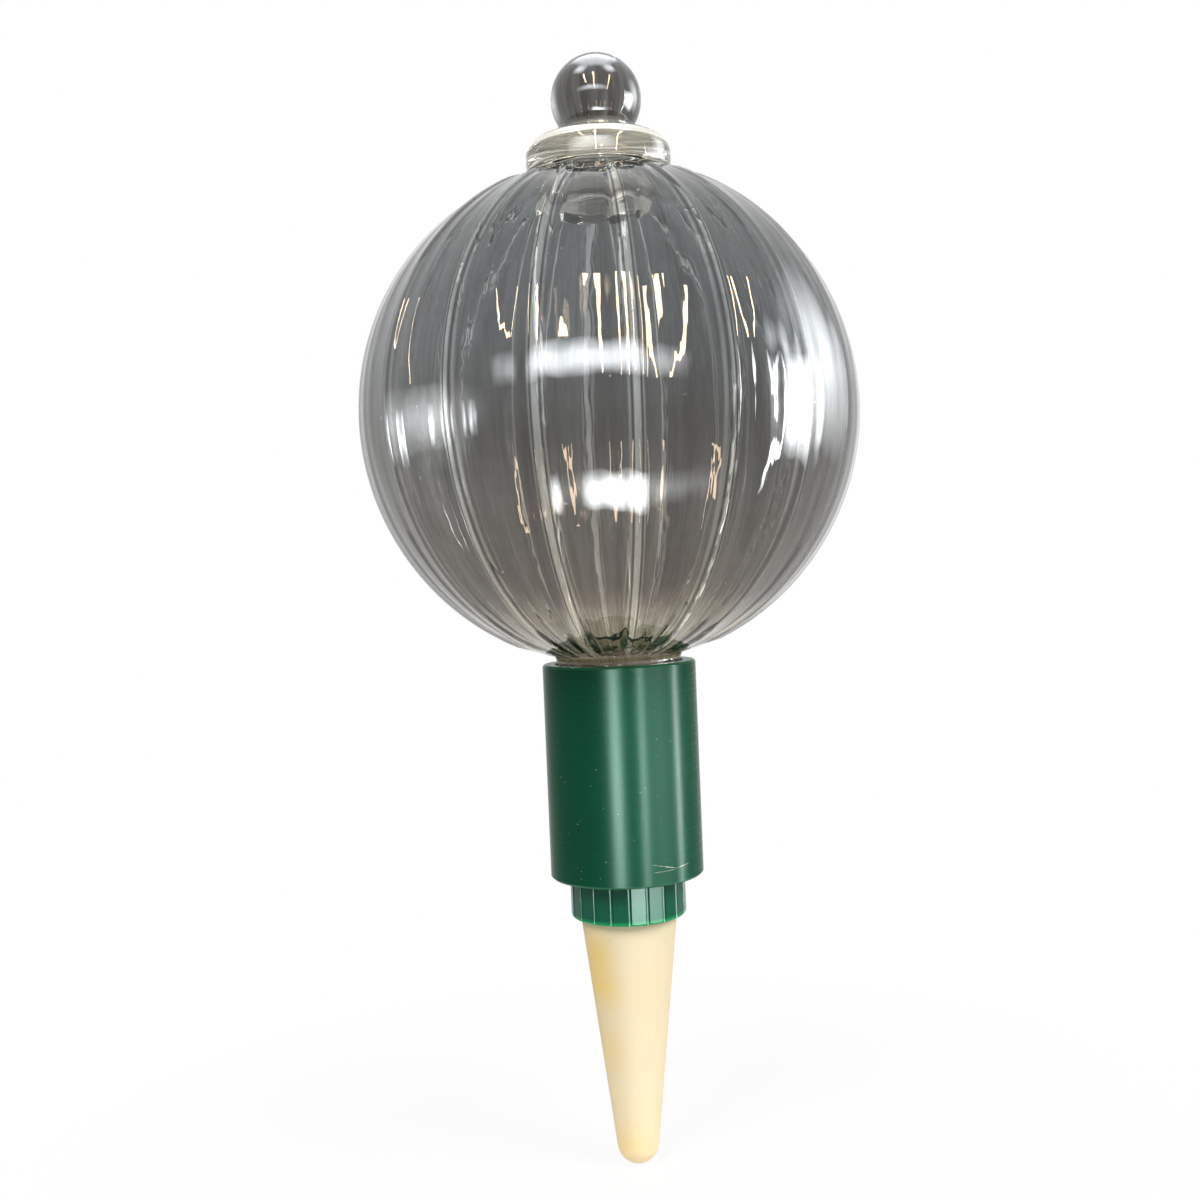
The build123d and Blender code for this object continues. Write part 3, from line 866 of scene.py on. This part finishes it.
def soften(data, soft):
    """Let a lamp fade out towards its edges, over this share of its width."""
    data.use_nodes = True
    tree = Tree(data.node_tree)
    parametric = tree.node("NewGeometry").outputs["Parametric"]
    across = tree.node("SeparateXYZ", {"Vector": parametric}).outputs
    fade = 1.0
    for value in (across["X"], across["Y"]):
        edge = tree.reckon("MINIMUM", value, tree.reckon("SUBTRACT", 1.0, value))
        fade = tree.times(fade, tree.spread(edge, 0, soft))
    emission = tree.node("Emission", {"Strength": fade})
    tree.node("OutputLight", {"Surface": emission.outputs["Emission"]})


def add_lamps(rows, colour, target=LAMP_TARGET):
    """The lamps of a table, each facing the target."""
    lamps = []
    for name, row in rows.items():
        bearing, elevation, distance, width, height, radiance, soft, lean = row
        away = Vector((0, -1, 0))
        away.rotate(Matrix.Rotation(math.radians(-elevation), 3, "X"))
        away.rotate(Matrix.Rotation(math.radians(bearing), 3, "Z"))
        turn = away.to_track_quat("Z", "Y").to_matrix().to_4x4()
        tilt = Matrix.Rotation(math.radians(lean), 4, "Z")
        place = Matrix.Translation(target + away * distance) @ turn @ tilt
        lamp = add_rectangle(name, width, height, radiance, colour, place)
        if soft:
            soften(lamp.data, soft)
        lamps.append(lamp)
    return lamps


def add_tubes():
    """Long level lamps overhead, running out from near the object, so that their images draw together."""
    lamps = []
    for k, (near_x, far_x, far_y) in enumerate(TUBES):
        near = Vector((near_x, TUBE_NEAR, TUBE_RISE))
        far = Vector((far_x, far_y, TUBE_RISE))
        run = far - near
        turn = Matrix.Rotation(math.atan2(-run.x, run.y), 4, "Z")
        place = Matrix.Translation(LAMP_TARGET + (near + far) / 2) @ turn
        lamps.append(add_rectangle(f"tube_{k}", TUBE_WIDTH, run.length, TUBE_RADIANCE, WARM, place))
    return lamps


def keep_to(lamps, pieces, name):
    """Let these lamps shine on these pieces alone, and only as gloss."""
    receivers = bpy.data.collections.new(name)
    for piece in pieces:
        receivers.objects.link(piece)
    for lamp in lamps:
        lamp.visible_diffuse = False
        lamp.light_linking.receiver_collection = receivers


def light_the_set(globe, stopper):
    """A white room and two plain lamps for all pieces, then windows and strips for the gloss of some."""
    fill_room()
    for lamp in add_lamps(PLAIN_LAMPS, DAYLIGHT):
        lamp.visible_glossy = False
        lamp.visible_transmission = False
    through_glass = add_lamps(ROOM_WINDOWS, COOL) + add_tubes()
    on_glass = add_lamps(LOW_WINDOWS, COOL) + add_lamps(LOW_STRIPS, WARM)
    on_globe = add_lamps(GLOBE_WINDOWS, COOL) + add_lamps(GLOBE_STRIPS, WARM)
    on_stopper = add_lamps(STOPPER_WINDOWS, COOL, BALL_TARGET)
    on_sleeve = add_lamps(SLEEVE_GLOWS, COOL, SLEEVE_TARGET)
    on_head = add_lamps(COLLAR_GLOWS, COOL, COLLAR_TARGET)
    for lamp in on_glass + on_globe + on_stopper:
        lamp.visible_transmission = False
    keep_to(through_glass + on_glass, [globe, stopper], "glass")
    keep_to(on_globe, [globe], "globe")
    keep_to(on_stopper, [stopper], "ball")
    keep_to(on_sleeve, [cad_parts["coupling_sleeve"]], "sleeve")
    keep_to(on_head, [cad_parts["cone_head"]], "head")


place_camera()
globe = make_globe(globe_glass(), ground_glass())
stopper = make_stopper(stopper_glass())
dress("coupling_sleeve", sleeve_green())
dress("cone_head", head_green())
dress("ceramic_cone", bare_ceramic())
rubber = seal_rubber()
for seal in ("cone_seal", "head_gasket", "neck_washer", "neck_seal_lower", "neck_seal_upper"):
    dress(seal, rubber)
lay_floor()
light_the_set(globe, stopper)
bpy.context.scene.view_settings.view_transform = "Standard"
